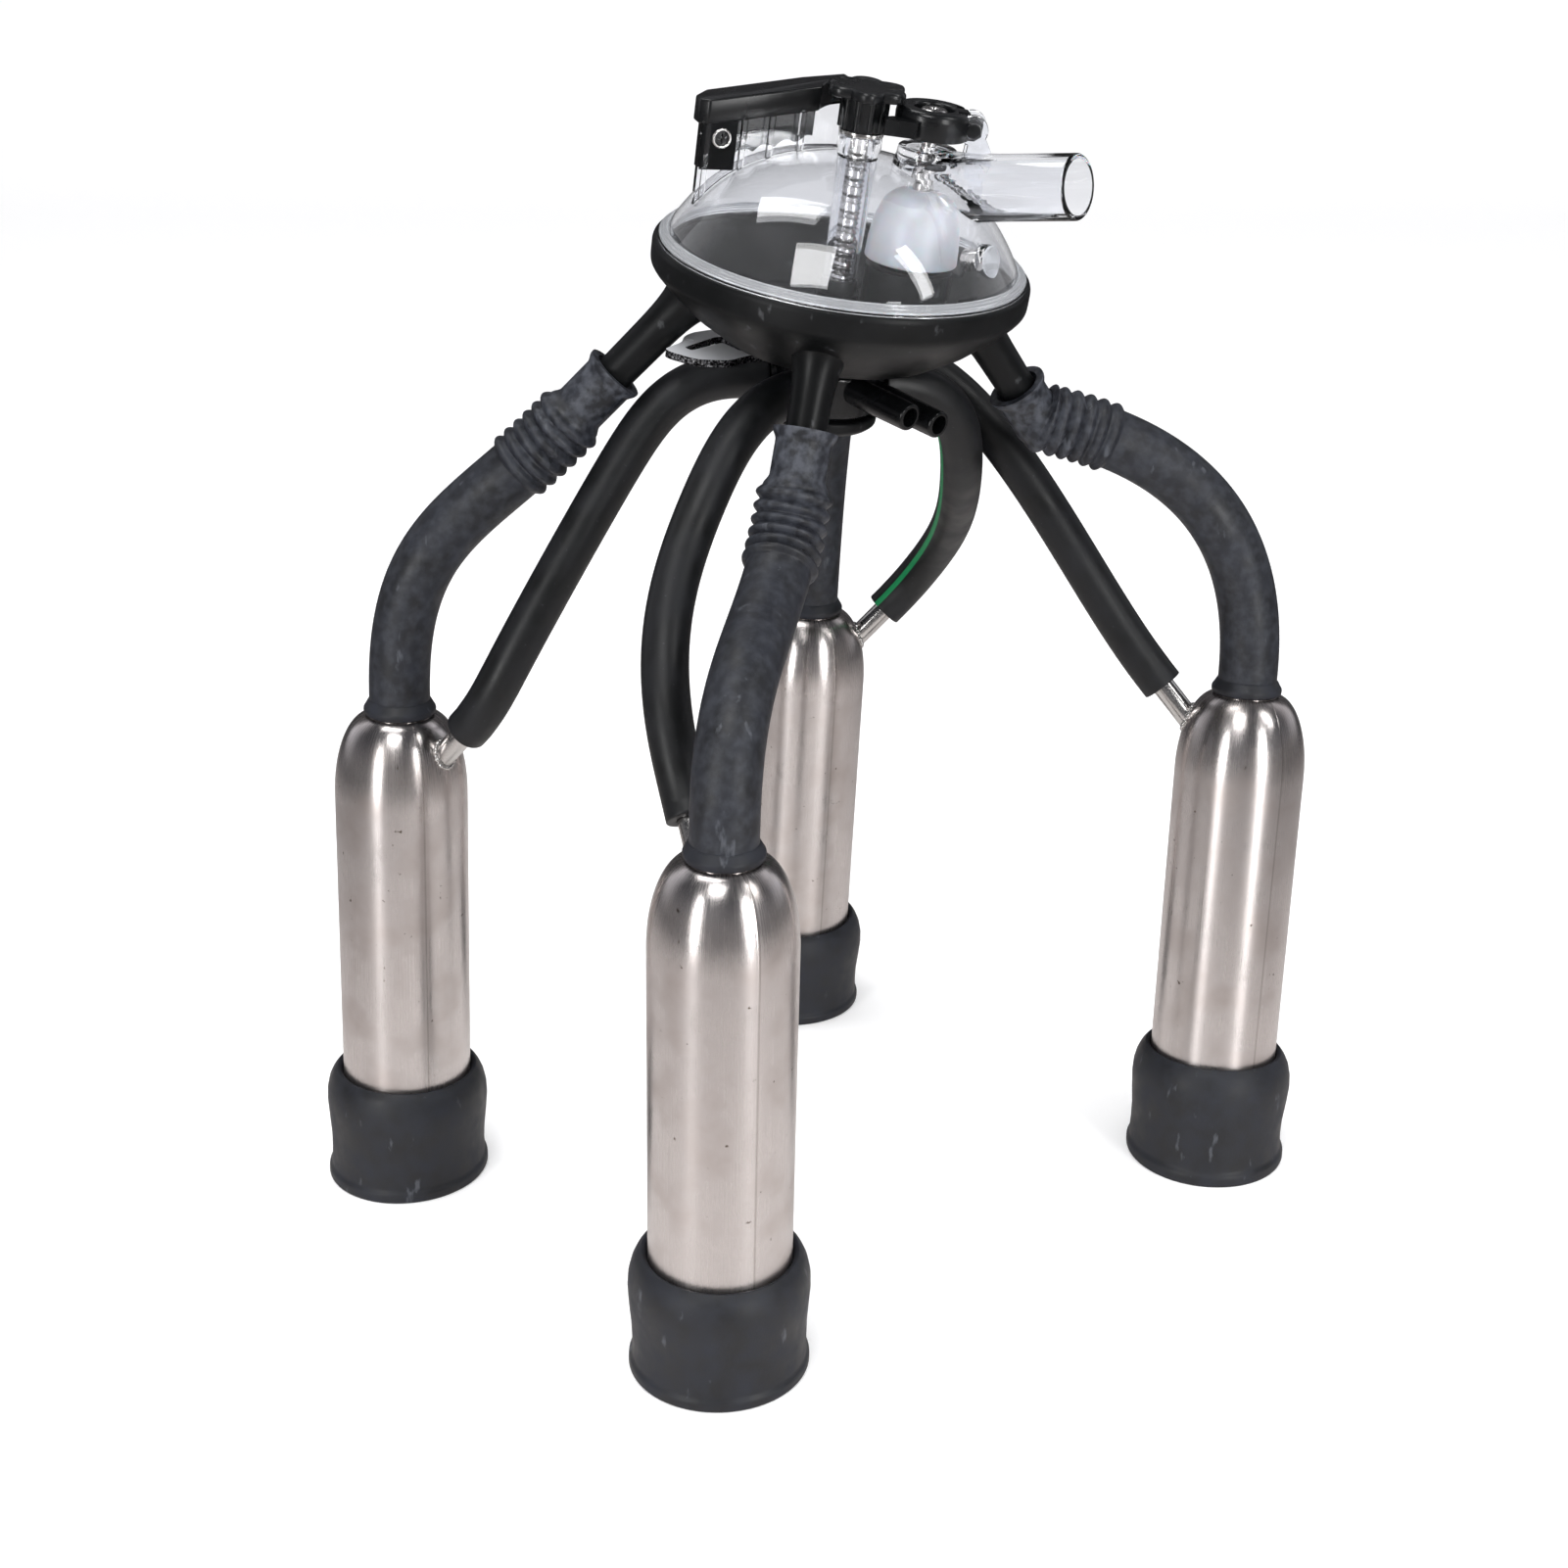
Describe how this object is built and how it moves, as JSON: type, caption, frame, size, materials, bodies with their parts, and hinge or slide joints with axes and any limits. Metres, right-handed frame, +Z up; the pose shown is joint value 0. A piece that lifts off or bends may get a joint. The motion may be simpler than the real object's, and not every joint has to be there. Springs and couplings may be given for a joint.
{
  "type": "milking cluster",
  "caption": "Milking cluster: a clear-domed claw with outlet, shut-off valve and clamp knob, joined by rubber tubes to steel teat cups standing on their mouthpieces.",
  "frame": {"origin": "middle of the bounding box, on the level surface that the four mouthpieces stand on", "axes": "+Z up, +X towards the outlet's side and the right cup, -Y towards the front cup"},
  "size_m": [0.352, 0.3128, 0.3804],
  "materials": {
    "liner_rubber": "dull blue-black rubber with a pale bloom",
    "tube_rubber": "soft satin black rubber",
    "seal_rubber": "matt",
    "shell_steel": "satin, drawn lengthways",
    "fitting_steel": "turned",
    "polished_steel": "polished",
    "black_plastic": "moulded, satin to gloss",
    "clear_plastic": "clear moulded plastic",
    "white_silicone": "milky",
    "brass_insert": "turned"
  },
  "bodies": {
    "base": {"bowl_gasket": "seal_rubber", "column_seal": "seal_rubber", "distributor_body": "black_plastic", "distributor_cover": "black_plastic", "distributor_screw": "fitting_steel", "hook_plate": "polished_steel", "liner_back": "liner_rubber", "liner_front": "liner_rubber", "liner_left": "liner_rubber", "liner_right": "liner_rubber", "lower_bowl": "black_plastic", "nipple_back": "shell_steel", "nipple_front": "shell_steel", "nipple_left": "shell_steel", "nipple_right": "shell_steel", "pulse_tube_back": "tube_rubber", "pulse_tube_front": "tube_rubber", "pulse_tube_left": "tube_rubber", "pulse_tube_right": "tube_rubber", "screw_insert": "brass_insert", "shell_back": "shell_steel", "shell_front": "shell_steel", "shell_left": "shell_steel", "shell_right": "shell_steel"},
    "bowl_top": {"upper_bowl": "clear_plastic", "handle_cover": "black_plastic", "cover_rivet": "fitting_steel", "lever_pin": "fitting_steel", "stem_seal": "seal_rubber"},
    "clamp_washer": {"knob_washer": "fitting_steel"},
    "clamp_knob": {"knob": "black_plastic", "clamp_screw": "fitting_steel"},
    "lever": {"valve_lever": "black_plastic"},
    "valve": {"valve_stem": "fitting_steel", "valve_bell": "white_silicone"}
  },
  "joints": [
    {"name": "bowl_lift", "type": "slide", "parent": "base", "child": "bowl_top", "axis": [0.1264, -0.1512, 0.9804], "range_m": [0, 0.06]},
    {"name": "screw_rise", "type": "slide", "parent": "bowl_top", "child": "clamp_washer", "axis": [0.1264, -0.1512, 0.9804], "range_m": [0, 0.0076]},
    {"name": "knob_turn", "type": "hinge", "parent": "clamp_washer", "child": "clamp_knob", "pos_m": [0.01257, -0.00814, 0.37072], "axis": [0.1264, -0.1512, 0.9804], "range_deg": [0, 1800]},
    {"name": "lever_tilt", "type": "hinge", "parent": "bowl_top", "child": "lever", "pos_m": [0.04597, -0.00734, 0.36552], "axis": [0, 0.9883, 0.1525], "range_deg": [-8, 0]},
    {"name": "valve_travel", "type": "slide", "parent": "bowl_top", "child": "valve", "axis": [0.1264, -0.1512, 0.9804], "range_m": [-0.0019, 0]}
  ],
  "couplings": [
    {"joint": "screw_rise", "follows": "knob_turn", "m_per_rad": 0.00023873},
    {"joint": "valve_travel", "follows": "lever_tilt", "m_per_rad": 0.0125}
  ]
}
